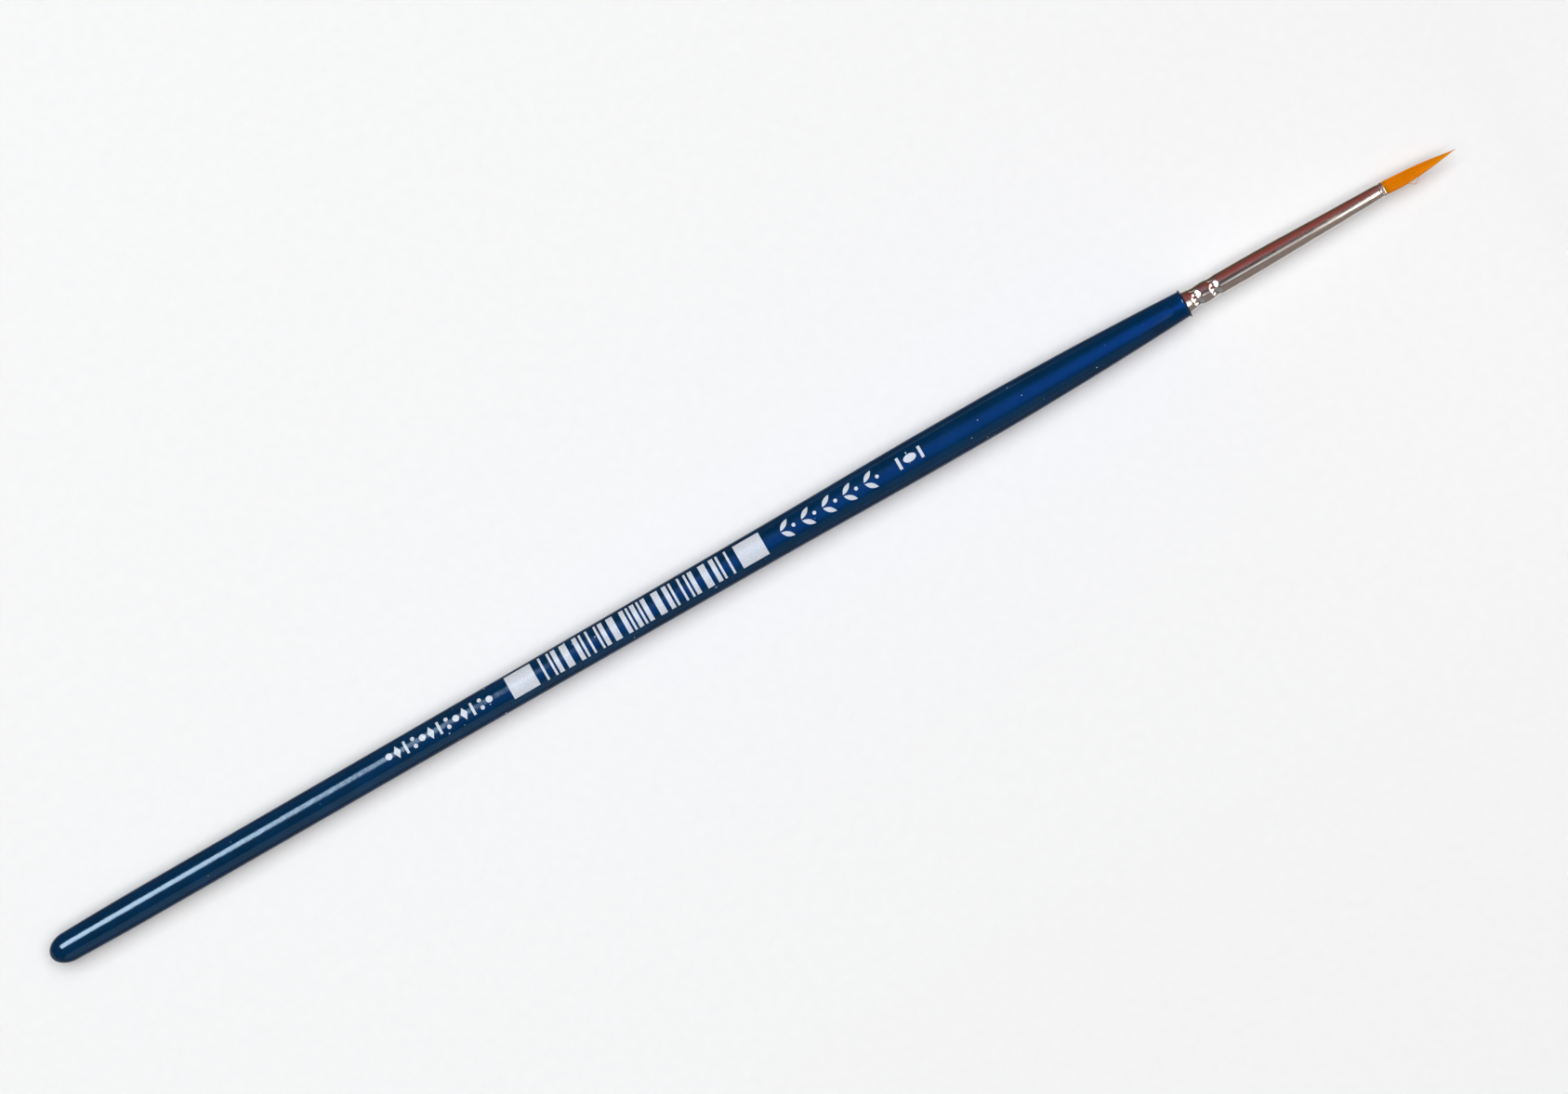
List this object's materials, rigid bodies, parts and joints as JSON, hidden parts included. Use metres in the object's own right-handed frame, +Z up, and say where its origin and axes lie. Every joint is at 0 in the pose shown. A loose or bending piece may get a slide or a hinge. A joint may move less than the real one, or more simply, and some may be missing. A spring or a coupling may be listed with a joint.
{
  "type": "fine detail brush",
  "caption": "Slim paint brush with a turned, blue-lacquered handle, a crimped tapered metal ferrule and a round, pointed orange tuft that flexes.",
  "frame": {"origin": "halfway along the brush, on the brush's middle plane, at the height of the surface under the handle's belly", "axes": "+X along the brush from the butt of the handle to the tip of the tuft, +Y to the left of someone looking along +X, +Z up"},
  "size_m": [0.1738, 0.0044, 0.0044],
  "materials": {
    "handle_wood": "turned, fine grain",
    "handle_lacquer": "glossy pearl blue lacquer",
    "handle_glue": "cured amber glue",
    "ferrule": "nickel plated, polished, fine draw lines",
    "tuft_resin": "cured epoxy",
    "tuft_root": "bundle of golden orange synthetic hair",
    "binding_thread": "white twisted thread",
    "tuft_heel": "golden orange synthetic hair",
    "tuft_point": "golden orange synthetic hair"
  },
  "bodies": {
    "handle": {"handle_wood": "handle_wood", "handle_lacquer": "handle_lacquer", "handle_glue": "handle_glue", "ferrule": "ferrule", "tuft_resin": "tuft_resin", "tuft_root": "tuft_root", "binding_thread": "binding_thread"},
    "tuft_heel": {"tuft_heel": "tuft_heel"},
    "tuft_point": {"tuft_point": "tuft_point"}
  },
  "joints": [
    {"name": "tuft_bend_up_down", "type": "hinge", "parent": "handle", "child": "tuft_heel", "pos_m": [0.07892, 0, 0.00218], "axis": [0, -1, 0], "range_deg": [-35, 35], "stiffness_Nm_per_rad": 0.0002},
    {"name": "tuft_bend_sideways", "type": "hinge", "parent": "tuft_heel", "child": "tuft_point", "pos_m": [0.08105, 0, 0.00218], "axis": [0, 0, 1], "range_deg": [-40, 40], "stiffness_Nm_per_rad": 0.0001}
  ]
}
